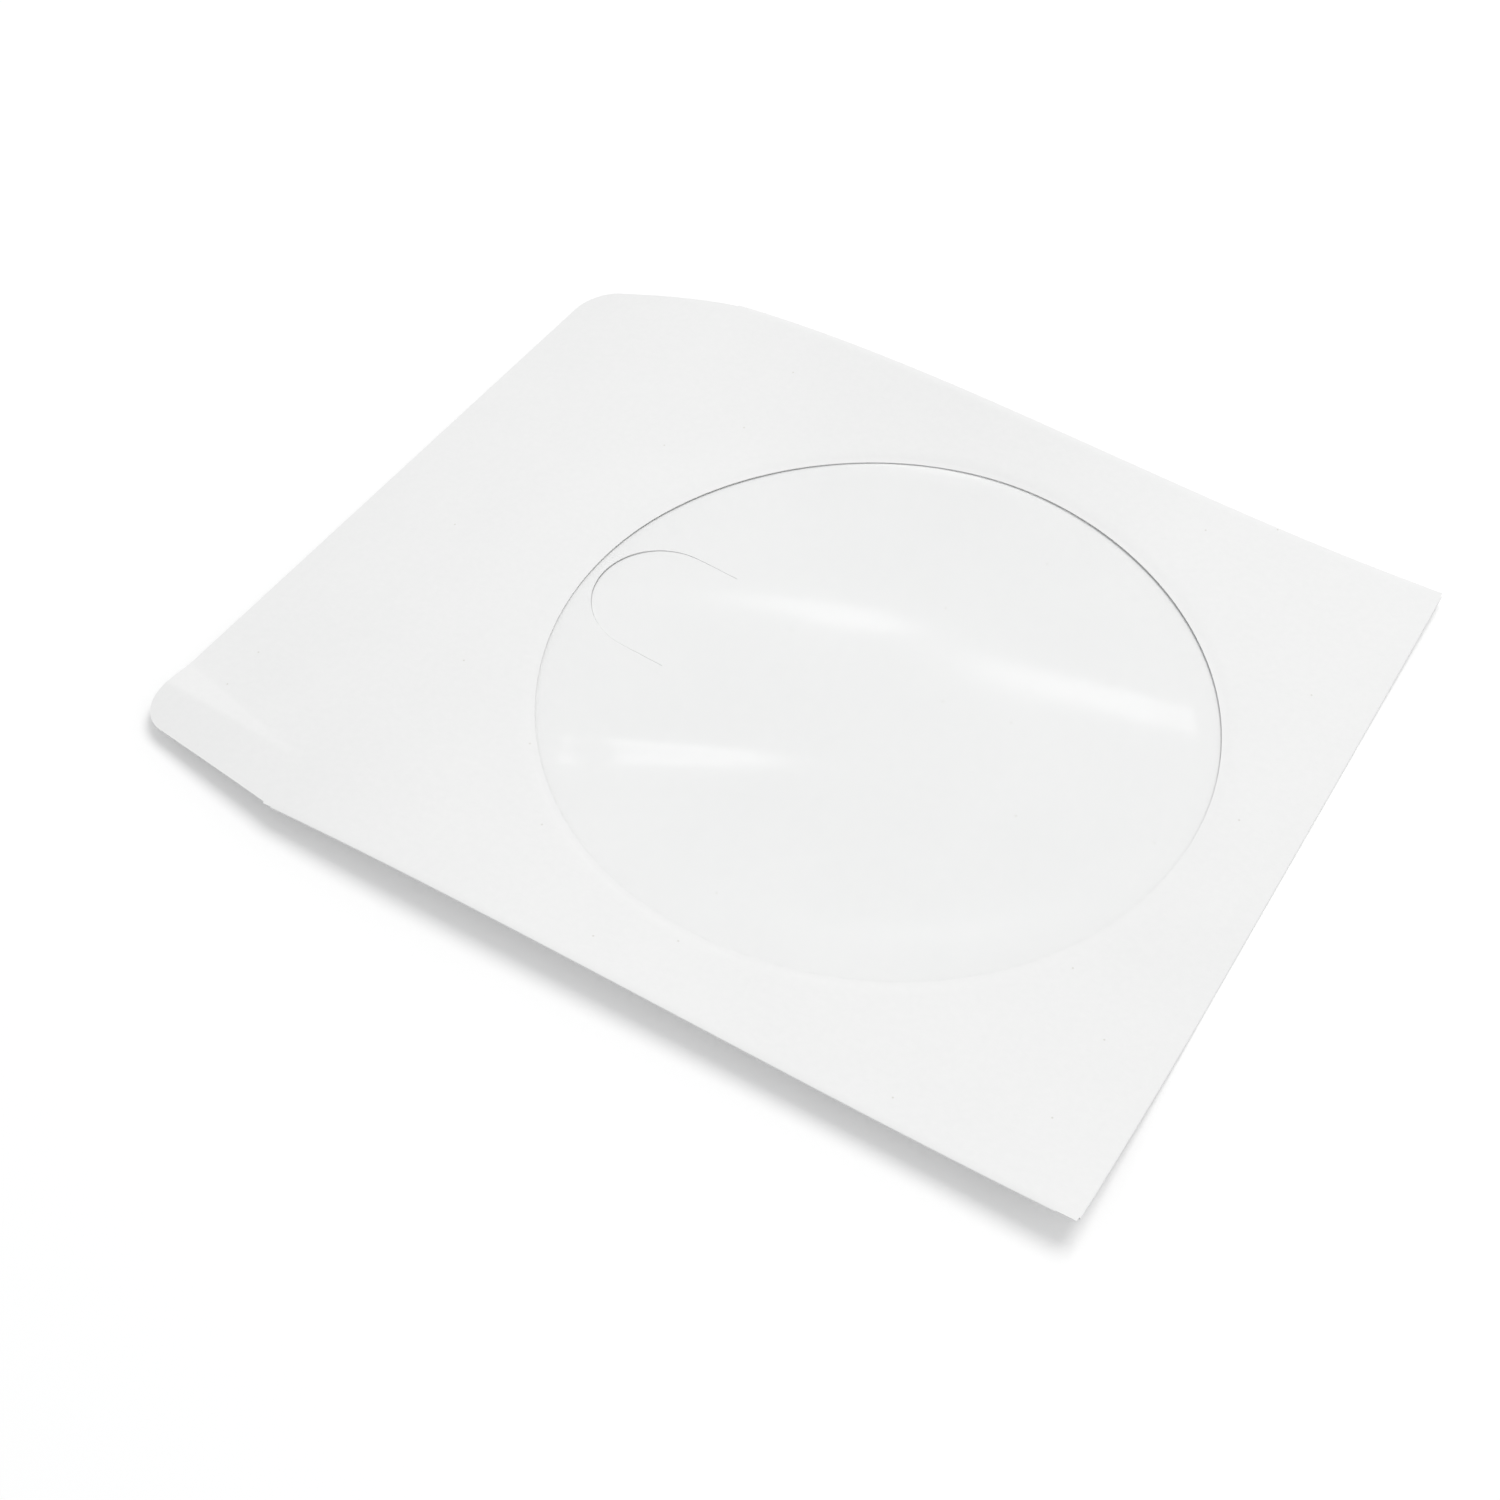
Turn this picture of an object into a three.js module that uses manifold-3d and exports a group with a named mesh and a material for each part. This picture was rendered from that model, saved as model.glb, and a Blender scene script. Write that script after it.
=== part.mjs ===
// A paper sleeve for a compact disc, lying on its back panel with its flap open.
// Millimetres, +Z up. The origin is on the flat underside, below the middle of the round window.
// The mouth and the flap are towards -X, the closed end is at +X.
import * as THREE from "three";
import { mergeVertices } from "three/addons/utils/BufferGeometryUtils.js";
import Module from "manifold-3d";

const wasm = await Module();
wasm.setup();

// The folded sheet
const BODY_LENGTH = 125; // mouth fold to closed end
const BODY_WIDTH = 125; // folded side to folded side
const PAPER = 0.13; // thickness of the sheet
const FOLD_DEPTH = 0.3; // how far a pressed fold reaches in from the edge
const FOLD_RADIUS = 0.14; // outside radius of a pressed fold
const FOLD_AIR = 0.06; // air between the two layers next to a fold

// The round window in the upper panel
const WINDOW_RADIUS = 49.5;

// The flap, which carries on from the window panel
const FLAP_DEPTH = 27.5; // mouth fold to outer edge
const FLAP_SIDE_STEP = 0.4; // the flap starts this far in from the folded sides
const FLAP_TAPER = 3.9; // and narrows by this much more on each side
const FLAP_CORNER_RADIUS = 6;

// The back panel and the side tabs that it is glued to
const BACK_MOUTH_STEP = 1.5; // the back panel starts this far in from the mouth fold
const BACK_SIDE_STEP = 0.8; // its cut sides lie this far in from the folded sides
const TAB_WIDTH = 11;
const TAB_SLANT = 7; // how far each end of a tab slants back
const TAB_END_GAP = 3; // open length at each corner of the closed end

// The U-shaped cut whose tongue holds the closed flap
const TONGUE_WIDTH = 21;
const TONGUE_FROM_MOUTH = 14.5; // mouth fold to the tip of the tongue
const TONGUE_LENGTH = 17.5; // tip to hinge
const CUT_WIDTH = 0.3;

// The film glued behind the window
const FILM = 0.05; // thickness
const FILM_MARGIN = 4.5; // how far it reaches past the window
const FILM_GLUE = 0.1; // glue line between the film and the panel

// How the sheet lies: heights of its underside above the surface it rests on
const POCKET_RISE = 0.5; // the window panel stands this far off the back panel in the middle
const FRONT_EDGE_LIFT = [3.0, 4.2, 3.7, 4.2]; // the -Y side: mouth, one third, two thirds, closed end
const REAR_EDGE_LIFT = [5.6, 5.9, 2.8, 1.4]; // the +Y side
const MOUTH_LIFT = 3.3; // middle of the mouth
const FRONT_LIFT_REACH = 44; // the front lift dies out this far from the -Y side
const REAR_LIFT_REACH = 47; // the rear lift dies out this far from the +Y side
const MOUTH_LIFT_REACH = 56; // the mouth lift dies out this far from the mouth fold
const FLAP_TIP_FRONT = 2.2; // the flap's outer edge, at its -Y end
const FLAP_TIP_REAR = 0.4; // and at its +Y end
const CREASE_FROM_SIDE = 9; // a soft crease runs across the flap this far from the -Y side
const CREASE_SLOPE = 0.14; // the paper outside the crease turns down by this slope at the outer edge

// Facets
const CELL = 6; // spacing of the grid lines on the curved sheet
const WINDOW_SEGMENTS = 128;
const CORNER_SEGMENTS = 8;
const CUT_PAST = 1; // how far a cutting solid runs past the paper
const MERGE = 1e-5; // vertices closer than this are one
const TAB_LAP = 0.02; // the glued tabs share this much with the back panel, so that they are one solid

const MOUTH_X = -BODY_LENGTH / 2;
const CLOSED_X = BODY_LENGTH / 2;
const SIDE_Y = BODY_WIDTH / 2;
const FLAP_X = MOUTH_X - FLAP_DEPTH;
const BACK_X = MOUTH_X + BACK_MOUTH_STEP;
const TAB_END_X = CLOSED_X - TAB_END_GAP;
const POCKET_END_X = CLOSED_X - FOLD_DEPTH;
const HIGHEST_LIFT = Math.max(...FRONT_EDGE_LIFT, ...REAR_EDGE_LIFT, MOUTH_LIFT);
const CUT_REACH = 2 * (HIGHEST_LIFT + POCKET_RISE); // cutting solids reach this far above and below the rest height

const clamp = (value, low, high) => Math.min(Math.max(value, low), high);

// Smooth curve through four heights at equal steps from 0 to 1.
function throughFour(heights, s) {
  return heights.reduce((sum, height, i) => {
    let weight = 1;
    for (let j = 0; j < heights.length; j++) {
      if (j !== i) weight *= (s * 3 - j) / (i - j);
    }
    return sum + height * weight;
  }, 0);
}

// Height of the back panel's underside. It is exactly 0 over the part that rests.
function underside(x, y) {
  const along = clamp((x - MOUTH_X) / BODY_LENGTH, 0, 1);
  const front = clamp(1 - (y + SIDE_Y) / FRONT_LIFT_REACH, 0, 1) ** 2;
  const rear = clamp(1 - (SIDE_Y - y) / REAR_LIFT_REACH, 0, 1) ** 2;
  const fromMouth = clamp((x - MOUTH_X) / MOUTH_LIFT_REACH, 0, 1);
  const mouth = fromMouth < 1 ? Math.cos((fromMouth * Math.PI) / 2) ** 2 : 0;
  return (
    throughFour(FRONT_EDGE_LIFT, along) * front +
    throughFour(REAR_EDGE_LIFT, along) * rear +
    MOUTH_LIFT * mouth * Math.max(1 - front - rear, 0)
  );
}

// How far the window panel stands off the tabs: nothing at the folds, most in the middle and at the mouth.
function pocketRise(x, y) {
  const across = Math.min(Math.abs(y) / SIDE_Y, 1);
  const along = clamp((x - MOUTH_X) / BODY_LENGTH, 0, 1);
  return POCKET_RISE * (1 - across ** 8) * (1 - along ** 12);
}

const tabTop = (x, y) => underside(x, y) + 2 * PAPER;
const backTop = (x, y) => underside(x, y) + PAPER;

// Underside of the window panel and, past the mouth, of the flap.
function panelLow(x, y) {
  const inBody = Math.max(x, MOUTH_X);
  const body = tabTop(inBody, y) + FOLD_AIR + pocketRise(inBody, y);
  if (x >= MOUTH_X) return body;
  const out = clamp((MOUTH_X - x) / FLAP_DEPTH, 0, 1);
  const across = clamp((y + SIDE_Y) / BODY_WIDTH, 0, 1);
  const tip = FLAP_TIP_FRONT + (FLAP_TIP_REAR - FLAP_TIP_FRONT) * across;
  const outsideCrease = Math.max(CREASE_FROM_SIDE - (y + SIDE_Y), 0);
  return body + (tip - body) * out ** 1.5 - CREASE_SLOPE * outsideCrease * out;
}
const panelTop = (x, y) => panelLow(x, y) + PAPER;

// What a pressed fold's round takes off a face, at a distance from the folded edge.
function foldRound(distance) {
  const inside = clamp(FOLD_RADIUS - distance, 0, FOLD_RADIUS * 0.9);
  return FOLD_RADIUS - Math.sqrt(FOLD_RADIUS ** 2 - inside ** 2);
}
const sideRound = (y) => foldRound(SIDE_Y - Math.abs(y));
const endRound = (x) => foldRound(CLOSED_X - x);

// Grid lines from low to high. Every sheet shares the ones in between, so its facets run parallel.
function gridLines(low, high, shared) {
  const inner = shared.filter((line) => line > low + 1e-6 && line < high - 1e-6);
  return [low, ...inner, high];
}
const steps = (from, to) => {
  const count = Math.round((to - from) / CELL);
  return Array.from({ length: count + 1 }, (_, i) => from + ((to - from) * i) / count);
};
const foldLines = [0, FOLD_RADIUS / 3, FOLD_RADIUS, FOLD_DEPTH];
const sharedX = [
  ...steps(FLAP_X, MOUTH_X),
  BACK_X,
  ...steps(MOUTH_X, TAB_END_X).slice(1),
  ...foldLines.map((distance) => CLOSED_X - distance).reverse(),
];
const sharedY = [
  ...foldLines.map((distance) => -SIDE_Y + distance),
  ...steps(-SIDE_Y + CREASE_FROM_SIDE, SIDE_Y - FOLD_DEPTH).slice(0, -1),
  ...foldLines.map((distance) => SIDE_Y - distance).reverse(),
];

function solidOf(positions, triangles) {
  return new wasm.Manifold(
    new wasm.Mesh({
      numProp: 3,
      vertProperties: new Float32Array(positions),
      triVerts: new Uint32Array(triangles),
    }),
  );
}

// A closed solid over a rectangle, between a lower and an upper height. Both faces split each cell alike.
function layer(x0, x1, y0, y1, low, high) {
  const xs = gridLines(x0, x1, sharedX);
  const ys = gridLines(y0, y1, sharedY);
  const columns = xs.length;
  const rows = ys.length;
  const positions = [low, high].flatMap((height) =>
    ys.flatMap((y) => xs.flatMap((x) => [x, y, height(x, y)])),
  );
  const upper = columns * rows;
  const triangles = [];
  for (let j = 0; j < rows - 1; j++) {
    for (let i = 0; i < columns - 1; i++) {
      const a = j * columns + i;
      const [b, c, d] = [a + 1, a + columns + 1, a + columns];
      triangles.push(a, c, b, a, d, c);
      triangles.push(upper + a, upper + b, upper + c, upper + a, upper + c, upper + d);
    }
  }
  const rim = [];
  for (let i = 0; i < columns - 1; i++) rim.push(i);
  for (let j = 0; j < rows - 1; j++) rim.push(j * columns + columns - 1);
  for (let i = columns - 1; i > 0; i--) rim.push((rows - 1) * columns + i);
  for (let j = rows - 1; j > 0; j--) rim.push(j * columns);
  rim.forEach((from, k) => {
    const to = rim[(k + 1) % rim.length];
    triangles.push(from, to, upper + to, from, upper + to, upper + from);
  });
  return solidOf(positions, triangles);
}

// A tall upright prism with the given outline.
function prism(shape, segments) {
  const body = new THREE.ExtrudeGeometry(shape, {
    depth: 2 * CUT_REACH,
    bevelEnabled: false,
    curveSegments: segments,
  });
  body.translate(0, 0, -CUT_REACH);
  body.deleteAttribute("normal");
  body.deleteAttribute("uv");
  const merged = mergeVertices(body, MERGE);
  return solidOf(merged.attributes.position.array, merged.index.array);
}

// Plan outline of the window panel with its flap: tapered sides and round outer corners.
function sheetOutline() {
  const start = SIDE_Y - FLAP_SIDE_STEP;
  const slant = Math.atan2(FLAP_TAPER, FLAP_DEPTH);
  const arcX = FLAP_X + FLAP_CORNER_RADIUS;
  const arcY = start - FLAP_TAPER - (FLAP_CORNER_RADIUS * (1 - Math.sin(slant))) / Math.cos(slant);
  const shape = new THREE.Shape();
  shape.moveTo(CLOSED_X + CUT_PAST, -SIDE_Y - CUT_PAST);
  shape.lineTo(CLOSED_X + CUT_PAST, SIDE_Y + CUT_PAST);
  shape.lineTo(MOUTH_X, SIDE_Y + CUT_PAST);
  shape.lineTo(MOUTH_X, start);
  shape.absarc(arcX, arcY, FLAP_CORNER_RADIUS, Math.PI / 2 + slant, Math.PI, false);
  shape.absarc(arcX, -arcY, FLAP_CORNER_RADIUS, Math.PI, (3 * Math.PI) / 2 - slant, false);
  shape.lineTo(MOUTH_X, -start);
  shape.lineTo(MOUTH_X, -SIDE_Y - CUT_PAST);
  return shape;
}

function windowOutline() {
  const shape = new THREE.Shape();
  shape.absarc(0, 0, WINDOW_RADIUS, 0, 2 * Math.PI, false);
  return shape;
}

// Plan outline of the pocket's floor between the two glued tabs, whose ends slant back.
function floorOutline() {
  const inner = SIDE_Y - TAB_WIDTH;
  const corners = [
    [BACK_X - CUT_PAST, -SIDE_Y],
    [BACK_X, -SIDE_Y],
    [BACK_X + TAB_SLANT, -inner],
    [TAB_END_X - TAB_SLANT, -inner],
    [TAB_END_X, -SIDE_Y],
    [POCKET_END_X, -SIDE_Y],
  ];
  const mirrored = corners.map(([x, y]) => [x, -y]).reverse();
  return new THREE.Shape([...corners, ...mirrored].map(([x, y]) => new THREE.Vector2(x, y)));
}

// Plan outline of the U-shaped cut. The tongue's round tip points to the mouth.
function tongueCutOutline() {
  const outer = (TONGUE_WIDTH + CUT_WIDTH) / 2;
  const inner = outer - CUT_WIDTH;
  const arcX = MOUTH_X + TONGUE_FROM_MOUTH + TONGUE_WIDTH / 2;
  const hingeX = MOUTH_X + TONGUE_FROM_MOUTH + TONGUE_LENGTH;
  const shape = new THREE.Shape();
  shape.moveTo(hingeX, outer);
  shape.absarc(arcX, 0, outer, Math.PI / 2, (3 * Math.PI) / 2, false);
  shape.lineTo(hingeX, -outer);
  shape.lineTo(hingeX, -inner);
  shape.absarc(arcX, 0, inner, (3 * Math.PI) / 2, Math.PI / 2, true);
  shape.lineTo(hingeX, inner);
  return shape;
}

// The window panel, its flap, the side folds and the tabs, before the back panel closes the pocket.
function panelWithTabs() {
  const deep = () => -CUT_REACH;
  const bottom = (x, y) => Math.min(backTop(x, y) - TAB_LAP + sideRound(y), panelLow(x, y) - PAPER);
  const top = (x, y) => panelTop(x, y) - sideRound(y) - endRound(x);
  const block = layer(FLAP_X, CLOSED_X, -SIDE_Y, SIDE_Y, bottom, top);
  const wide = SIDE_Y + CUT_PAST;
  const inner = SIDE_Y - FOLD_DEPTH;
  const underFlap = layer(FLAP_X - CUT_PAST, BACK_X, -wide, wide, deep, panelLow);
  const cornerGaps = layer(TAB_END_X, POCKET_END_X, -wide, wide, deep, panelLow);
  const pocket = layer(BACK_X - CUT_PAST, POCKET_END_X, -inner, inner, tabTop, panelLow);
  const justAboveTabs = (x, y) => tabTop(x, y) + FOLD_AIR / 2;
  const floor = layer(BACK_X - CUT_PAST, POCKET_END_X, -SIDE_Y, SIDE_Y, deep, justAboveTabs).intersect(
    prism(floorOutline(), CORNER_SEGMENTS),
  );
  const hollow = underFlap.add(cornerGaps).add(pocket).add(floor);
  return block
    .subtract(hollow)
    .intersect(prism(sheetOutline(), CORNER_SEGMENTS))
    .subtract(prism(windowOutline(), WINDOW_SEGMENTS));
}

function backPanel() {
  const side = SIDE_Y - BACK_SIDE_STEP;
  const low = (x, y) => underside(x, y) + endRound(x);
  const sheet = layer(BACK_X, CLOSED_X, -side, side, low, backTop);
  return sheet.subtract(prism(tongueCutOutline(), CORNER_SEGMENTS * 2));
}

function windowFilm() {
  const reach = WINDOW_RADIUS + FILM_MARGIN;
  const top = (x, y) => panelLow(x, y) - FILM_GLUE;
  const low = (x, y) => top(x, y) - FILM;
  return layer(-reach, reach, -reach, reach, low, top);
}

function meshOf(name, solid, material) {
  const { vertProperties, triVerts, numProp } = solid.getMesh();
  const geometry = new THREE.BufferGeometry();
  geometry.setAttribute("position", new THREE.BufferAttribute(vertProperties, numProp));
  geometry.setIndex(new THREE.BufferAttribute(triVerts, 1));
  geometry.computeVertexNormals();
  const mesh = new THREE.Mesh(geometry, material);
  mesh.name = name;
  return mesh;
}

const paper = new THREE.MeshStandardMaterial({ color: 0xf1f1f0, roughness: 0.9, metalness: 0 });
const film = new THREE.MeshStandardMaterial({
  color: 0xf7faf9,
  roughness: 0.08,
  metalness: 0,
  transparent: true,
  opacity: 0.2,
});

const group = new THREE.Group();
group.add(meshOf("paper_sleeve", panelWithTabs().add(backPanel()), paper));
group.add(meshOf("window_film", windowFilm(), film));

export default group;
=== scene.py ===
# A paper sleeve for a compact disc: its sheet and film, their materials, the floor, the light and the camera.
# Metres, +Z up. The mouth and the flap are towards -X, the closed end is at +X.
import math

import bpy
import numpy as np
from mathutils import Matrix, Vector
from mathutils.geometry import delaunay_2d_cdt
from mathutils.kdtree import KDTree

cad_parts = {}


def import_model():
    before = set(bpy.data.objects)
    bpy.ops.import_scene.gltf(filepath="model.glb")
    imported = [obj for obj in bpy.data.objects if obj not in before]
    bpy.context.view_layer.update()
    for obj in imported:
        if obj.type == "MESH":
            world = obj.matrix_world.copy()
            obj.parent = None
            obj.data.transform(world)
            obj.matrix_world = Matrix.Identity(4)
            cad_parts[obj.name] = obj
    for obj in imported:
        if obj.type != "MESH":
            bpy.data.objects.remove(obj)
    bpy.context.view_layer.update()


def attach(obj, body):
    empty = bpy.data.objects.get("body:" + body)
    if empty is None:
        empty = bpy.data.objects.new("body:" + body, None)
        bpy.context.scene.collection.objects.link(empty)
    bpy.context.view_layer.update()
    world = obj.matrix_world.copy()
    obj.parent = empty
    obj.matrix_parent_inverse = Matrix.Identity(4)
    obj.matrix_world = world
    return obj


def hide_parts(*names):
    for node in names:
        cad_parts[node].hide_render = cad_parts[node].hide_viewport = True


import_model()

MM = 0.001

# The folded sheet
BODY_LENGTH = 125 * MM  # mouth fold to closed end
BODY_WIDTH = 125 * MM
PAPER = 0.13 * MM
FOLD_AIR = 0.06 * MM  # air between the two layers next to a fold
WINDOW_RADIUS = 49.5 * MM

# The flap
FLAP_DEPTH = 27.5 * MM
FLAP_SIDE_STEP = 0.4 * MM  # the flap starts this far in from the folded sides
FLAP_TAPER = 3.9 * MM  # and narrows by this much more on each side
FLAP_CORNER_RADIUS = 6 * MM

# The back panel and the tabs that it is glued to
BACK_MOUTH_STEP = 1.5 * MM
BACK_SIDE_STEP = 0.8 * MM
TAB_WIDTH = 11 * MM
TAB_SLANT = 7 * MM
TAB_END_GAP = 3 * MM
TAB_GLUE = 0.01 * MM

# The tongue, cut free in the back panel
TONGUE_WIDTH = 21 * MM
TONGUE_FROM_MOUTH = 14.5 * MM
TONGUE_LENGTH = 17.5 * MM
TONGUE_CUT = 0.06 * MM
TONGUE_DROOP = 0.34 * MM  # the tongue's tip hangs this far below the panel
TONGUE_CURL = 2.4  # above 1, most of the droop is near the tip

# The film
FILM = 0.05 * MM
FILM_MARGIN = 4.5 * MM
FILM_GLUE = 0.02 * MM

# How far the window panel stands off the back panel
POCKET_RISE = 0.2 * MM
RISE_TO_SIDES = 8  # the higher, the closer to the folds the rise dies out
RISE_TO_END = 12
SETTLED_X = -22 * MM  # beside the window the two panels lie closest here
SETTLED_Y = 46 * MM
SETTLED_REACH = 22 * MM
SETTLED_SHARE = 0.8

# How the sheet lies. Each side's lift is given at the mouth, one third, two thirds and the closed end.
FRONT_EDGE_LIFT = (3.0 * MM, 4.2 * MM, 3.7 * MM, 4.2 * MM)  # the -Y side
REAR_EDGE_LIFT = (5.6 * MM, 5.9 * MM, 2.8 * MM, 1.4 * MM)  # the +Y side
MOUTH_LIFT = 3.3 * MM  # middle of the mouth
FRONT_LIFT_REACH = 44 * MM
REAR_LIFT_REACH = 47 * MM
MOUTH_LIFT_REACH = 56 * MM
FLAP_TIP_FRONT = 2.2 * MM  # height of the flap's outer edge, at its -Y end
FLAP_TIP_REAR = 0.4 * MM  # and at its +Y end
FLAP_FALL = 1.5  # 1 is a straight fall from the mouth, and more starts level and ends steep

# The crease across the flap, and the narrow wedge that rises to it on its inner side
CREASE_FROM_SIDE = 9 * MM
CREASE_SLOPE = 0.14
CREASE_ROUND = 0.2 * MM  # half the width over which the paper turns
CREASE_SKEW = 0.07  # the crease leans away from the side by this much towards the flap's outer edge
WEDGE_WIDTH = 5 * MM  # at the outer edge
WEDGE_SLOPE = 0.13

# The paper is pressed down a little in a ring around the window, and takes the film with it
RIM_PRESS = 0.12 * MM
RIM_FLAT = 0.5 * MM  # the pressed ring is this wide
RIM_PRESS_WIDTH = 1.4 * MM  # and the paper comes up again over this width

# The film is drawn tight across the window, and long shallow ripples run through it
TIGHTNESS = 0.6  # 0 follows the panel's curve, 1 spans the window's edge like a skin
TIGHT_FADE = 2.5  # how fast it comes free of the panel's curve inside the window's edge
RIPPLE_FADE = 8.0  # how fast the ripples rise inside the window's edge
SKIN_TERMS = 8  # the skin follows this many waves round the window's edge
SKIN_SAMPLES = 360

# Mesh spacing
SHEET_CELL = 1.15 * MM
FILM_CELL = 0.9 * MM
RIM_CELL = 0.9 * MM
RIM_RINGS = (0.3 * MM, 0.65 * MM, 1.05 * MM, 1.6 * MM, 2.4 * MM)  # extra points this far outside the window
CREASE_ROWS = (-0.4 * MM, 0, 0.4 * MM)  # extra points this far from the crease and the wedge's inner edge
CREASE_START = 0.04  # where these rows start and end, as a share of the flap's depth
WEDGE_START = 0.3
CREASE_END = 0.97
FLAP_SIDE_POINTS = 20
TAB_END_POINTS = 10
CLEAR_OF_LINES = 0.6  # cells between the grid's points and the outlines
FOLD_STEPS = 8
SAME_POINT = 1e-8
WELD = 0.002 * MM
SHARP_ANGLE = 40  # degrees

MOUTH_X = -BODY_LENGTH / 2
CLOSED_X = BODY_LENGTH / 2
SIDE_Y = BODY_WIDTH / 2
FLAP_X = MOUTH_X - FLAP_DEPTH
BACK_X = MOUTH_X + BACK_MOUTH_STEP
TAB_END_X = CLOSED_X - TAB_END_GAP
TIP_X = MOUTH_X + TONGUE_FROM_MOUTH
HINGE_X = TIP_X + TONGUE_LENGTH
TONGUE_ARC_X = TIP_X + TONGUE_WIDTH / 2  # middle of the tongue's round tip
SIDE_FOLD = (2 * PAPER + FOLD_AIR) / 2  # outside radius of a folded side
END_FOLD = (3 * PAPER + FOLD_AIR) / 2  # outside radius of the fold at the closed end
PANEL_SIDE = SIDE_Y - SIDE_FOLD
PANEL_END = CLOSED_X - END_FOLD


def through_four(heights, s):
    """Smooth curve through four heights at equal steps from 0 to 1."""
    total = 0
    for i, height in enumerate(heights):
        weight = 1
        for j in range(4):
            if j != i:
                weight = weight * (s * 3 - j) / (i - j)
        total = total + height * weight
    return total


def eased(value):
    """The value clipped to 0 and 1, with a level start and end."""
    value = np.clip(value, 0, 1)
    return value * value * (3 - 2 * value)


def soft_ramp(value, radius):
    """0 below zero and value above it, with a rounded corner."""
    return (value + np.sqrt(value**2 + radius**2)) / 2


def underside(x, y):
    """Height of the back panel's underside."""
    along = np.clip((x - MOUTH_X) / BODY_LENGTH, 0, 1)
    front = np.clip(1 - (y + SIDE_Y) / FRONT_LIFT_REACH, 0, 1) ** 2
    rear = np.clip(1 - (SIDE_Y - y) / REAR_LIFT_REACH, 0, 1) ** 2
    from_mouth = np.clip((x - MOUTH_X) / MOUTH_LIFT_REACH, 0, 1)
    mouth = np.cos(from_mouth * math.pi / 2) ** 2
    edges = through_four(FRONT_EDGE_LIFT, along) * front + through_four(REAR_EDGE_LIFT, along) * rear
    return edges + MOUTH_LIFT * mouth * np.maximum(1 - front - rear, 0)


def pocket_rise(x, y):
    """How far the window panel stands off the tabs."""
    across = np.minimum(np.abs(y) / SIDE_Y, 1)
    along = np.clip((x - MOUTH_X) / BODY_LENGTH, 0, 1)
    away = ((x - SETTLED_X) ** 2 + (y - SETTLED_Y) ** 2) / SETTLED_REACH**2
    settled = 1 - SETTLED_SHARE * np.exp(-away)
    return POCKET_RISE * settled * (1 - across**RISE_TO_SIDES) * (1 - along**RISE_TO_END)


def rim_press(x, y):
    """How far the paper is pressed down next to the window, and inside it."""
    return RIM_PRESS * (1 - eased((np.hypot(x, y) - WINDOW_RADIUS - RIM_FLAT) / RIM_PRESS_WIDTH))


def crease(y, out):
    """What the crease across the flap adds: the wedge that rises to it, and the slope outside it."""
    outside = CREASE_FROM_SIDE + CREASE_SKEW * out * FLAP_DEPTH - (y + SIDE_Y)
    past_crease = soft_ramp(outside, CREASE_ROUND)
    wedge = soft_ramp(outside + WEDGE_WIDTH * out, CREASE_ROUND) - past_crease
    return WEDGE_SLOPE * wedge - CREASE_SLOPE * past_crease * out


def panel_low(x, y):
    """Underside of the window panel and, past the mouth, of the flap."""
    in_body = np.maximum(x, MOUTH_X)
    body = underside(in_body, y) + 2 * PAPER + FOLD_AIR + pocket_rise(in_body, y)
    out = np.clip((MOUTH_X - x) / FLAP_DEPTH, 0, 1)
    across = np.clip((y + SIDE_Y) / BODY_WIDTH, 0, 1)
    tip = FLAP_TIP_FRONT + (FLAP_TIP_REAR - FLAP_TIP_FRONT) * across
    return body + (tip - body) * out**FLAP_FALL + crease(y, out) - rim_press(x, y)


def panel_top(x, y):
    return panel_low(x, y) + PAPER


def tongue_droop(x, y):
    """How far the tongue hangs below the back panel: most at its tip, nothing at its hinge."""
    from_arc = np.hypot(np.minimum(x - TONGUE_ARC_X, 0), y)
    inside = (from_arc < TONGUE_WIDTH / 2) & (x < HINGE_X)
    toward_tip = np.clip((HINGE_X - x) / TONGUE_LENGTH, 0, 1)
    return np.where(inside, TONGUE_DROOP * toward_tip**TONGUE_CURL, 0)


def back_low(x, y):
    return underside(x, y) - tongue_droop(x, y)


def tab_low(x, y):
    return underside(x, y) + PAPER + TAB_GLUE


def stations(start, end, cell):
    """Evenly spaced values from start to end, about one cell apart."""
    return np.linspace(start, end, max(2, round(abs(end - start) / cell) + 1))


def arc(cx, cy, radius, start, end, cell):
    angles = stations(start, end, cell / radius)
    return [(cx + radius * math.cos(a), cy + radius * math.sin(a)) for a in angles]


def window_ring(radius):
    """Points of a circle around the window's middle."""
    return arc(0, 0, radius, 0, 2 * math.pi, RIM_CELL)[:-1]


def crease_rows():
    """Extra points along the crease and along the inner edge of the wedge next to it."""
    rows = []
    for wedge, first in ((0, CREASE_START), (WEDGE_WIDTH, WEDGE_START)):
        for off in CREASE_ROWS:
            out = np.linspace(first, CREASE_END, round(FLAP_DEPTH * (CREASE_END - first) / RIM_CELL))
            y = off - SIDE_Y + CREASE_FROM_SIDE + (CREASE_SKEW * FLAP_DEPTH + wedge) * out
            rows.append(list(zip(MOUTH_X - out * FLAP_DEPTH, y)))
    return rows


def in_loop(points, loop):
    """True for each point inside a closed outline."""
    loop = np.asarray(loop)
    inside = np.zeros(len(points), bool)
    x, y = points[:, 0], points[:, 1]
    for (x0, y0), (x1, y1) in zip(loop, np.roll(loop, -1, axis=0)):
        if y0 == y1:
            continue
        crosses = (y0 > y) != (y1 > y)
        inside ^= crosses & (x < (x1 - x0) * (y - y0) / (y1 - y0) + x0)
    return inside


def near_loop(points, loop, distance):
    """True for each point closer to an outline's corners than distance."""
    loop = np.asarray(loop)
    close = np.zeros(len(points), bool)
    for corner in loop:
        close |= np.hypot(points[:, 0] - corner[0], points[:, 1] - corner[1]) < distance
    return close


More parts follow.
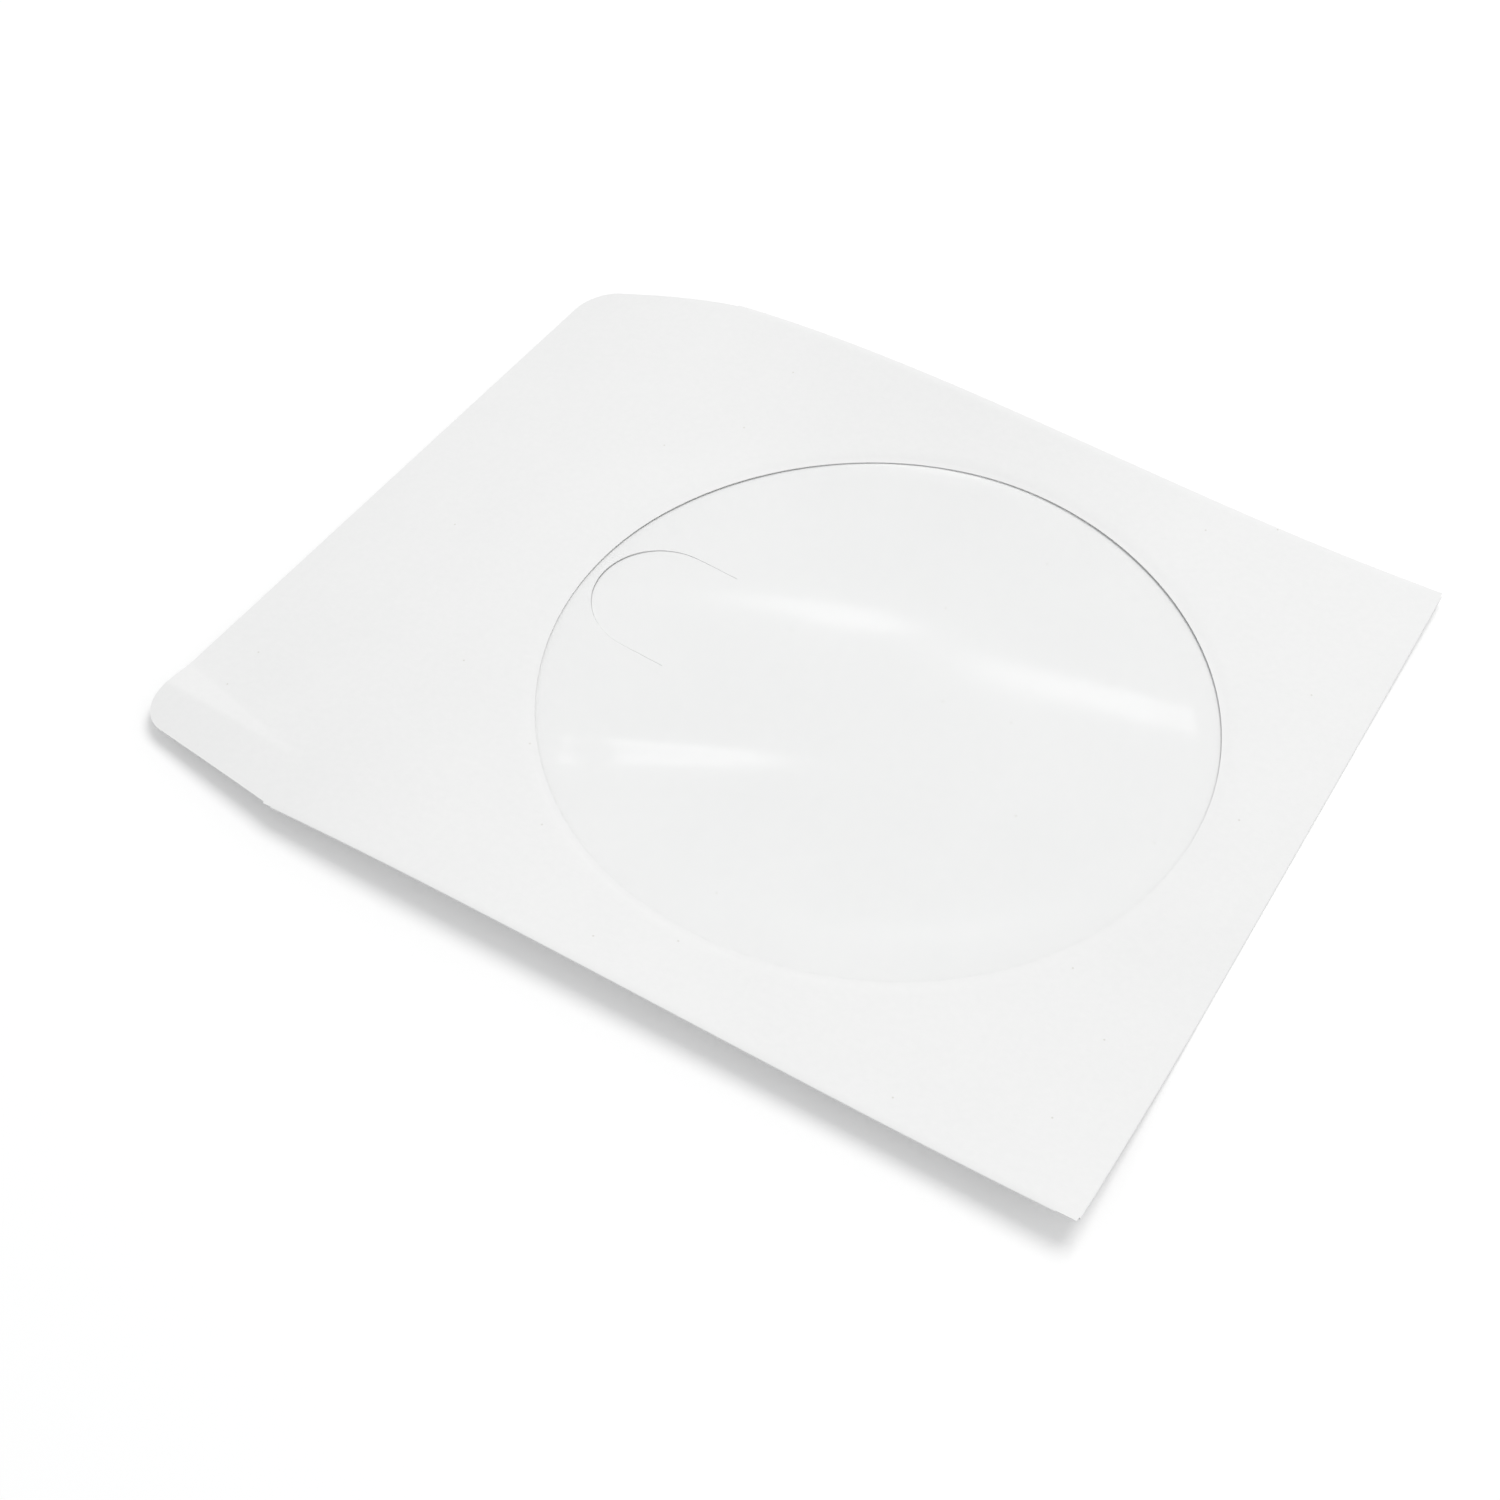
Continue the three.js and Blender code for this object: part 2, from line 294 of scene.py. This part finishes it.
def plan_mesh(outline, holes, cell, rings=()):
    """Triangles that fill a plan outline around its holes, as (points, triangles). Rings add points."""
    loops = [outline, *holes]
    outer = np.asarray(outline)
    low, high = outer.min(0), outer.max(0)
    xs = stations(low[0], high[0], cell)
    ys = stations(low[1], high[1], cell)
    grid = np.array([(x + (j % 2) * cell / 2, y) for j, y in enumerate(ys) for x in xs])
    inner = in_loop(grid, outline)
    for hole in holes:
        inner &= ~in_loop(grid, hole)
    for line in [*loops, *rings]:
        inner &= ~near_loop(grid, line, cell * CLEAR_OF_LINES)
    points = [tuple(p) for loop in loops for p in loop]
    edges = []
    start = 0
    for loop in loops:
        count = len(loop)
        edges += [(start + i, start + (i + 1) % count) for i in range(count)]
        start += count
    points += [tuple(p) for ring in rings for p in ring]
    points += [tuple(p) for p in grid[inner]]
    result = delaunay_2d_cdt([Vector(p) for p in points], edges, [], 0, SAME_POINT)
    flat = np.array([tuple(p) for p in result[0]])
    faces = np.array([list(face) for face in result[2]])
    middle = flat[faces].mean(1)
    keep = in_loop(middle, outline)
    for hole in holes:
        keep &= ~in_loop(middle, hole)
    return flat, faces[keep]


def facing(flat, faces, height, up):
    """One layer of the sheet over a plan mesh, facing up or down, as (outer points, inner points, faces)."""
    outer = np.column_stack([flat, height(flat[:, 0], flat[:, 1])])
    inner = outer + np.array([0, 0, -PAPER if up else PAPER])
    a, b, c = (flat[faces[:, k]] for k in range(3))
    turn = (b[:, 0] - a[:, 0]) * (c[:, 1] - a[:, 1]) - (b[:, 1] - a[:, 1]) * (c[:, 0] - a[:, 0])
    wrong = (turn > 0) != up
    faces = faces.copy()
    faces[wrong] = faces[wrong][:, ::-1]
    return outer, inner, faces.tolist()


def grid_faces(rows, columns):
    """Quads of a grid whose points run row by row."""
    corners = [r * columns + i for r in range(rows - 1) for i in range(columns - 1)]
    return [[a, a + 1, a + columns + 1, a + columns] for a in corners]


def half_turn(top, low, radius, place, turned):
    """A fold that runs from the height top to the height low, as (outer points, inner points, faces)."""
    outer, inner = [], []
    for step in range(FOLD_STEPS + 1):
        angle = math.pi * step / FOLD_STEPS
        for points, deep in ((outer, 0), (inner, PAPER)):
            height = (top + low) / 2 + ((top - low) / 2 - deep) * math.cos(angle)
            points.append(place((radius - deep) * math.sin(angle), height))
    faces = grid_faces(FOLD_STEPS + 1, len(top))
    if turned:
        faces = [face[::-1] for face in faces]
    return np.concatenate(outer), np.concatenate(inner), faces


def panel_parts(side_x, end_y):
    """The window panel with its flap, facing up. Its outline shares its points with the folds."""
    start = SIDE_Y - FLAP_SIDE_STEP
    slant = math.atan2(FLAP_TAPER, FLAP_DEPTH)
    arc_x = FLAP_X + FLAP_CORNER_RADIUS
    arc_y = start - FLAP_TAPER - FLAP_CORNER_RADIUS * (1 - math.sin(slant)) / math.cos(slant)
    corner = arc(arc_x, arc_y, FLAP_CORNER_RADIUS, math.pi / 2 + slant, math.pi, RIM_CELL)
    side_of_flap = np.linspace((MOUTH_X, start), corner[0], FLAP_SIDE_POINTS)[:-1]
    upper = [(PANEL_END, PANEL_SIDE)]
    upper += [(x, PANEL_SIDE) for x in side_x[::-1]]
    upper += [(MOUTH_X, PANEL_SIDE)]
    upper += [tuple(p) for p in side_of_flap] + corner
    tip = [(FLAP_X, y) for y in stations(arc_y, -arc_y, SHEET_CELL)[1:-1]]
    lower = [(x, -y) for x, y in upper[::-1]]
    end = [(PANEL_END, y) for y in end_y]
    rings = [window_ring(WINDOW_RADIUS + out) for out in RIM_RINGS]
    flat, faces = plan_mesh(
        upper + tip + lower + end,
        [window_ring(WINDOW_RADIUS)],
        SHEET_CELL,
        rings + crease_rows(),
    )
    return facing(flat, faces, panel_top, True)


def side_fold(side, side_x):
    """The half-turn from the window panel to a tab, on the side +1 or -1."""
    edge = side * PANEL_SIDE

    def place(out, height):
        return np.column_stack([side_x, np.full(len(side_x), edge + side * out), height])

    return half_turn(panel_top(side_x, edge), tab_low(side_x, edge), SIDE_FOLD, place, side < 0)


def tab(side, side_x):
    """A glued tab, facing down."""
    inner = side * (SIDE_Y - TAB_WIDTH)
    edge = side * PANEL_SIDE
    fold = [(x, edge) for x in side_x]
    slant = np.linspace((TAB_END_X, edge), (TAB_END_X - TAB_SLANT, inner), TAB_END_POINTS)[1:]
    straight = [(x, inner) for x in stations(TAB_END_X - TAB_SLANT, BACK_X + TAB_SLANT, SHEET_CELL)[1:]]
    back = np.linspace((BACK_X + TAB_SLANT, inner), (BACK_X, edge), TAB_END_POINTS)[1:-1]
    outline = fold + [tuple(p) for p in slant] + straight + [tuple(p) for p in back]
    flat, faces = plan_mesh(outline, [], SHEET_CELL)
    return facing(flat, faces, tab_low, False)


def end_fold(end_y):
    """The half-turn from the window panel to the back panel."""

    def place(out, height):
        return np.column_stack([np.full(len(end_y), PANEL_END + out), end_y, height])

    return half_turn(panel_top(PANEL_END, end_y), back_low(PANEL_END, end_y), END_FOLD, place, True)


def tongue_cut():
    """Outline of the U-shaped cut, open towards the closed end."""
    outer = (TONGUE_WIDTH + TONGUE_CUT) / 2
    inner = (TONGUE_WIDTH - TONGUE_CUT) / 2
    legs = stations(HINGE_X, TONGUE_ARC_X, RIM_CELL)[:-1]
    around = arc(TONGUE_ARC_X, 0, outer, math.pi / 2, 3 * math.pi / 2, RIM_CELL)
    within = arc(TONGUE_ARC_X, 0, inner, 3 * math.pi / 2, math.pi / 2, RIM_CELL)
    loop = [(x, outer) for x in legs] + around + [(x, -outer) for x in legs[::-1]]
    return loop + [(x, -inner) for x in legs] + within + [(x, inner) for x in legs[::-1]]


def back_part(end_y):
    """The back panel, facing down."""
    side = SIDE_Y - BACK_SIDE_STEP
    end = [(PANEL_END, y) for y in end_y]
    rear = [(x, side) for x in stations(PANEL_END, BACK_X, SHEET_CELL)[1:]]
    mouth = [(BACK_X, y) for y in stations(side, -side, SHEET_CELL)[1:]]
    front = [(x, -side) for x in stations(BACK_X, PANEL_END, SHEET_CELL)[1:-1]]
    flat, faces = plan_mesh(end + rear + mouth + front, [tongue_cut()], SHEET_CELL)
    return facing(flat, faces, back_low, False)


def joined(parts):
    """The parts as one, with the points along their common edges made one."""
    outer = np.concatenate([part[0] for part in parts])
    inner = np.concatenate([part[1] for part in parts])
    tree = KDTree(len(outer))
    for i, point in enumerate(outer):
        tree.insert(point, i)
    tree.balance()
    same = np.array([min(found[1] for found in tree.find_range(point, WELD)) for point in outer])
    faces = []
    start = 0
    for part in parts:
        faces += [[same[start + i] for i in face] for face in part[2]]
        start += len(part[0])
    used, place = np.unique(same, return_inverse=True)
    number = dict(zip(same, place))
    return outer[used], inner[used], [[number[i] for i in face] for face in faces]


def placed(name, data):
    """A new object of the scene that holds the data."""
    piece = bpy.data.objects.new(name, data)
    bpy.context.scene.collection.objects.link(piece)
    return piece


def sheet_object(name, outer, inner, faces):
    """A closed mesh between the outer and the inner points, with a wall along every open edge."""
    count = len(outer)
    open_edges = {}
    for face in faces:
        for edge in zip(face, face[1:] + face[:1]):
            if edge[::-1] in open_edges:
                del open_edges[edge[::-1]]
            else:
                open_edges[edge] = True
    closed = faces + [[count + i for i in face[::-1]] for face in faces]
    closed += [[b, a, count + a, count + b] for a, b in open_edges]
    mesh = bpy.data.meshes.new(name)
    mesh.from_pydata(np.concatenate([outer, inner]), [], closed)
    mesh.validate()
    mesh.polygons.foreach_set("use_smooth", [True] * len(mesh.polygons))
    mesh.set_sharp_from_angle(angle=math.radians(SHARP_ANGLE))
    return placed(name, mesh)


def paper_sleeve():
    side_x = stations(BACK_X, TAB_END_X, SHEET_CELL)
    end_side = SIDE_Y - BACK_SIDE_STEP
    end_y = stations(-end_side, end_side, SHEET_CELL)
    parts = [panel_parts(side_x, end_y)]
    for side in (-1, 1):
        parts.append(side_fold(side, side_x))
        parts.append(tab(side, side_x))
    parts.append(end_fold(end_y))
    parts.append(back_part(end_y))
    return sheet_object("sleeve_paper", *joined(parts))


def skin(x, y):
    """Height of a tight skin that spans the window and meets its edge all round."""
    around = np.linspace(0, 2 * math.pi, SKIN_SAMPLES, endpoint=False)
    rim = panel_low(WINDOW_RADIUS * np.cos(around), WINDOW_RADIUS * np.sin(around))
    out = np.hypot(x, y) / WINDOW_RADIUS
    turn = np.arctan2(y, x)
    height = rim.mean()
    for n in range(1, SKIN_TERMS + 1):
        across = 2 * (rim * np.cos(n * around)).mean() * np.cos(n * turn)
        along = 2 * (rim * np.sin(n * around)).mean() * np.sin(n * turn)
        height = height + out**n * (across + along)
    return height


def ripple(x, y, middle, slope, bend, reach, width, height):
    """One long ripple, in millimetres: its middle, its course, its reach each way and its section."""
    along = x / MM - middle[0]
    course = middle[1] + slope * along + bend * along**2
    off = (y / MM - course) / math.hypot(1, slope)
    return height * MM * np.exp(-((along / reach) ** 4)) * np.exp(-((off / width) ** 2))


def ripples(x, y):
    rear = ripple(x, y, (-2, 21), slope=0.29, bend=-0.004, reach=56, width=6.5, height=0.47)
    end = ripple(x, y, (32, 22), slope=0.26, bend=0.003, reach=34, width=6, height=0.42)
    front = ripple(x, y, (-27, -24.8), slope=0.554, bend=-0.001, reach=32, width=4.4, height=0.38)
    hollow = ripple(x, y, (1, 1), slope=-0.14, bend=-0.001, reach=39, width=12, height=-0.48)
    branch = ripple(x, y, (4, 20), slope=0.93, bend=0.002, reach=21, width=5.5, height=-0.09)
    return rear + end + front + hollow + branch


def film_top(x, y):
    """Upper face of the film: under the panel outside the window, tight and rippled inside it."""
    inside = np.clip(1 - (np.hypot(x, y) / WINDOW_RADIUS) ** 2, 0, 1)
    loose = panel_low(x, y)
    tight = TIGHTNESS * (skin(x, y) - loose) * eased(TIGHT_FADE * inside)
    return loose + tight + eased(RIPPLE_FADE * inside) * ripples(x, y) - FILM_GLUE


def window_film():
    reach = WINDOW_RADIUS + FILM_MARGIN
    steps = stations(-reach, reach, FILM_CELL)
    x, y = (values.ravel() for values in np.meshgrid(steps, steps))
    top = np.column_stack([x, y, film_top(x, y)])
    low = top - np.array([0, 0, FILM])
    return sheet_object("sleeve_film", top, low, grid_faces(len(steps), len(steps)))


def node_material(name):
    material = bpy.data.materials.new(name)
    material.use_nodes = True
    tree = material.node_tree
    tree.nodes.clear()
    output = tree.nodes.new("ShaderNodeOutputMaterial")
    return material, tree, output


def noise(tree, where, scale, detail, distortion=0.0):
    """A noise texture's factor at the given points."""
    node = tree.nodes.new("ShaderNodeTexNoise")
    node.inputs["Scale"].default_value = scale
    node.inputs["Detail"].default_value = detail
    node.inputs["Distortion"].default_value = distortion
    tree.links.new(where, node.inputs["Vector"])
    return node.outputs["Fac"]


def ranged(tree, value, low, high, to_low, to_high):
    """The value mapped from one range to another, and clamped."""
    node = tree.nodes.new("ShaderNodeMapRange")
    node.inputs["From Min"].default_value = low
    node.inputs["From Max"].default_value = high
    node.inputs["To Min"].default_value = to_low
    node.inputs["To Max"].default_value = to_high
    tree.links.new(value, node.inputs["Value"])
    return node.outputs["Result"]


def math_node(tree, operation, first, second):
    """A Math node of two inputs, each a socket or a number."""
    node = tree.nodes.new("ShaderNodeMath")
    node.operation = operation
    for socket, value in zip(node.inputs, (first, second)):
        if isinstance(value, (int, float)):
            socket.default_value = value
        else:
            tree.links.new(value, socket)
    return node.outputs["Value"]


def weighted_sum(tree, *terms):
    """Sum of the values, each times its weight."""
    total = None
    for value, weight in terms:
        term = math_node(tree, "MULTIPLY", value, weight)
        total = term if total is None else math_node(tree, "ADD", total, term)
    return total


# The paper's colour runs between two tones. Scales are features per metre.
PAPER_DARK = (0.859, 0.860, 0.858, 1)
PAPER_PALE = (0.884, 0.884, 0.881, 1)
TONE_LOW = 0.36  # the mixed noise between these values spreads over the two tones
TONE_HIGH = 0.64
CLOUD_SCALE = 60
CLOUD_DETAIL = 5
CLOUD_SHARE = 0.3
MOTTLE_SCALE = 1000
MOTTLE_DETAIL = 4
MOTTLE_SHARE = 0.4
FIBRE_SCALE = 3200
FIBRE_DETAIL = 3
FIBRE_SHARE = 0.3
FIBRE_STRETCH = (0.35, 1, 1)
FIBRE_BEND = 1.5

# A few places have a tiny speck
SPECK = (0.73, 0.72, 0.69, 1)
SPECK_SCALE = 110
SPECK_SIZE = 0.011  # of the distance between places
SPECK_FADE = 1.8  # a speck is gone at this many times its size
SPECK_BARE = 0.84  # this share of the places has none

# The paper's surface
SMOOTHEST = 0.76
ROUGHEST = 0.86
PAPER_SPECULAR = 0.35
RELIEF_DEPTH = 0.02 * MM
RELIEF_STRENGTH = 0.35
RELIEF_MOTTLE = 0.6
RELIEF_FIBRES = 0.4


def paper_colour(tree, where, clouds, mottle, fibres):
    """The two tones mixed by the three noises, with the specks on top."""
    new, link = tree.nodes.new, tree.links.new
    tone = weighted_sum(tree, (clouds, CLOUD_SHARE), (mottle, MOTTLE_SHARE), (fibres, FIBRE_SHARE))
    colour = new("ShaderNodeMix")
    colour.data_type = "RGBA"
    colour.inputs["A"].default_value = PAPER_DARK
    colour.inputs["B"].default_value = PAPER_PALE
    link(ranged(tree, tone, TONE_LOW, TONE_HIGH, 0, 1), colour.inputs["Factor"])
    cells = new("ShaderNodeTexVoronoi")
    cells.voronoi_dimensions = "2D"
    cells.inputs["Scale"].default_value = SPECK_SCALE
    link(where, cells.inputs["Vector"])
    dot = ranged(tree, cells.outputs["Distance"], SPECK_SIZE, SPECK_SIZE * SPECK_FADE, 1, 0)
    pick = new("ShaderNodeSeparateColor")
    link(cells.outputs["Color"], pick.inputs["Color"])
    chosen = math_node(tree, "GREATER_THAN", pick.outputs["Red"], SPECK_BARE)
    specks = new("ShaderNodeMix")
    specks.data_type = "RGBA"
    specks.inputs["B"].default_value = SPECK
    link(math_node(tree, "MULTIPLY", dot, chosen), specks.inputs["Factor"])
    link(colour.outputs["Result"], specks.inputs["A"])
    return specks.outputs["Result"]


def paper_material():
    """Uncoated white paper: faint clouds, mottle and fibres, with a few tiny specks."""
    material, tree, output = node_material("white_paper")
    new, link = tree.nodes.new, tree.links.new
    shader = new("ShaderNodeBsdfPrincipled")
    where = new("ShaderNodeTexCoord").outputs["Object"]
    stretched = new("ShaderNodeMapping")
    stretched.inputs["Scale"].default_value = FIBRE_STRETCH
    link(where, stretched.inputs["Vector"])
    clouds = noise(tree, where, CLOUD_SCALE, CLOUD_DETAIL)
    mottle = noise(tree, where, MOTTLE_SCALE, MOTTLE_DETAIL)
    fibres = noise(tree, stretched.outputs["Vector"], FIBRE_SCALE, FIBRE_DETAIL, FIBRE_BEND)
    link(paper_colour(tree, where, clouds, mottle, fibres), shader.inputs["Base Color"])
    link(ranged(tree, mottle, 0.3, 0.7, SMOOTHEST, ROUGHEST), shader.inputs["Roughness"])
    shader.inputs["Specular IOR Level"].default_value = PAPER_SPECULAR
    bump = new("ShaderNodeBump")
    bump.inputs["Strength"].default_value = RELIEF_STRENGTH
    bump.inputs["Distance"].default_value = RELIEF_DEPTH
    link(weighted_sum(tree, (mottle, RELIEF_MOTTLE), (fibres, RELIEF_FIBRES)), bump.inputs["Height"])
    link(bump.outputs["Normal"], shader.inputs["Normal"])
    link(shader.outputs["BSDF"], output.inputs["Surface"])
    return material


FILM_CLEAR = (0.998, 0.999, 0.999, 1)
FILM_ROUGHNESS = 0.15
FILM_IOR = 1.5


def film_material():
    """Clear film: it lets light through and mirrors a little of it, more at a glancing angle."""
    material, tree, output = node_material("clear_film")
    new, link = tree.nodes.new, tree.links.new
    clear = new("ShaderNodeBsdfTransparent")
    clear.inputs["Color"].default_value = FILM_CLEAR
    gloss = new("ShaderNodeBsdfGlossy")
    gloss.inputs["Roughness"].default_value = FILM_ROUGHNESS
    fresnel = new("ShaderNodeFresnel")
    fresnel.inputs["IOR"].default_value = FILM_IOR
    outside = math_node(tree, "SUBTRACT", 1, new("ShaderNodeNewGeometry").outputs["Backfacing"])
    mix = new("ShaderNodeMixShader")
    link(math_node(tree, "MULTIPLY", fresnel.outputs["Fac"], outside), mix.inputs["Fac"])
    link(clear.outputs["BSDF"], mix.inputs[1])
    link(gloss.outputs["BSDF"], mix.inputs[2])
    link(mix.outputs["Shader"], output.inputs["Surface"])
    return material


def seen_as_background(tree):
    """1 for rays that show the background: from the camera, or through and off glossy surfaces."""
    path = tree.nodes.new("ShaderNodeLightPath")
    direct = math_node(tree, "MAXIMUM", path.outputs["Is Camera Ray"], path.outputs["Is Glossy Ray"])
    return math_node(tree, "MAXIMUM", direct, path.outputs["Is Transmission Ray"])


FLOOR_REACH = 0.5  # from its middle to each side
FLOOR_DROP = 0.02 * MM  # below the face that the sleeve rests on
FLOOR_COLOUR = (0.75, 0.75, 0.75, 1)
FLOOR_GLOW = 0.28  # what a seen ray adds, so that the lit floor is white


def floor():
    mesh = bpy.data.meshes.new("floor")
    corners = [(-FLOOR_REACH, -FLOOR_REACH), (FLOOR_REACH, -FLOOR_REACH)]
    corners += [(FLOOR_REACH, FLOOR_REACH), (-FLOOR_REACH, FLOOR_REACH)]
    mesh.from_pydata([(x, y, -FLOOR_DROP) for x, y in corners], [], [(0, 1, 2, 3)])
    piece = placed("floor", mesh)
    material, tree, output = node_material("floor_white")
    diffuse = tree.nodes.new("ShaderNodeBsdfDiffuse")
    diffuse.inputs["Color"].default_value = FLOOR_COLOUR
    glow = tree.nodes.new("ShaderNodeEmission")
    strength = math_node(tree, "MULTIPLY", seen_as_background(tree), FLOOR_GLOW)
    tree.links.new(strength, glow.inputs["Strength"])
    both = tree.nodes.new("ShaderNodeAddShader")
    tree.links.new(diffuse.outputs["BSDF"], both.inputs[0])
    tree.links.new(glow.outputs["Emission"], both.inputs[1])
    tree.links.new(both.outputs["Shader"], output.inputs["Surface"])
    mesh.materials.append(material)


WORLD_LIGHT = 0.56
WORLD_COLOUR = (0.982, 0.992, 1.0, 1)
WHITE = (1, 1, 1, 1)


def world():
    scene_world = bpy.data.worlds.new("studio")
    scene_world.use_nodes = True
    tree = scene_world.node_tree
    tree.nodes.clear()
    output = tree.nodes.new("ShaderNodeOutputWorld")
    light = tree.nodes.new("ShaderNodeBackground")
    light.inputs["Color"].default_value = WORLD_COLOUR
    light.inputs["Strength"].default_value = WORLD_LIGHT
    seen = tree.nodes.new("ShaderNodeBackground")
    seen.inputs["Color"].default_value = WHITE
    mix = tree.nodes.new("ShaderNodeMixShader")
    tree.links.new(seen_as_background(tree), mix.inputs["Fac"])
    tree.links.new(light.outputs["Background"], mix.inputs[1])
    tree.links.new(seen.outputs["Background"], mix.inputs[2])
    tree.links.new(mix.outputs["Shader"], output.inputs["Surface"])
    bpy.context.scene.world = scene_world


def direction(azimuth, elevation):
    """Unit vector at the given angles in degrees. Azimuth 0 is towards +Y and 90 towards -X."""
    a, e = math.radians(azimuth), math.radians(elevation)
    return Vector((-math.sin(a) * math.cos(e), math.cos(a) * math.cos(e), math.sin(e)))


def softbox(name, place, width, height, radiance, colour, mirrored):
    """A soft lamp of the given size and brightness, aimed at the middle of the sleeve."""
    data = bpy.data.lights.new(name, "AREA")
    data.shape = "RECTANGLE"
    data.size = width
    data.size_y = height
    data.energy = radiance * math.pi * width * height
    data.color = colour
    lamp = placed(name, data)
    lamp.location = place
    lamp.rotation_euler = place.to_track_quat("Z", "Y").to_euler()
    lamp.visible_glossy = mirrored


def lamps():
    """A large key lamp from the rear, and a weak strip that the film's ripples mirror."""
    softbox(
        "key",
        direction(-15, 64) * 1.4,
        width=0.8,
        height=0.8,
        radiance=5.3,
        colour=(1.0, 0.992, 0.982),
        mirrored=False,
    )
    softbox(
        "strip",
        direction(23, 59) * 1.6,
        width=0.46,
        height=0.08,
        radiance=4.2,
        colour=(1.0, 1.0, 1.0),
        mirrored=True,
    )


CAMERA_AZIMUTH = 32.61  # degrees; 0 looks along +Y
CAMERA_ELEVATION = 49.35
CAMERA_ROLL = -1.11
CAMERA_DISTANCE = 309.0 * MM
CAMERA_AIM = Vector((-11.4 * MM, -16.7 * MM, 0))
CAMERA_LENS = 51.82
SENSOR_WIDTH = 36
CLIP_START = 10 * MM


def camera():
    forward = direction(CAMERA_AZIMUTH, -CAMERA_ELEVATION)
    level_right = direction(CAMERA_AZIMUTH - 90, 0)
    right = Matrix.Rotation(-math.radians(CAMERA_ROLL), 3, forward) @ level_right
    up = right.cross(forward)
    data = bpy.data.cameras.new("camera")
    data.sensor_width = SENSOR_WIDTH
    data.lens = CAMERA_LENS
    data.clip_start = CLIP_START
    piece = placed("camera", data)
    axes = Matrix((right, up, -forward)).transposed().to_4x4()
    piece.matrix_world = Matrix.Translation(CAMERA_AIM - forward * CAMERA_DISTANCE) @ axes
    bpy.context.scene.camera = piece


def main():
    paper = paper_sleeve()
    paper.data.materials.append(paper_material())
    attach(paper, "root")
    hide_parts("paper_sleeve")
    film = window_film()
    film.data.materials.append(film_material())
    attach(film, "root")
    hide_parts("window_film")
    film.visible_shadow = False
    floor()
    world()
    lamps()
    camera()
    bpy.context.scene.view_settings.view_transform = "Standard"


main()
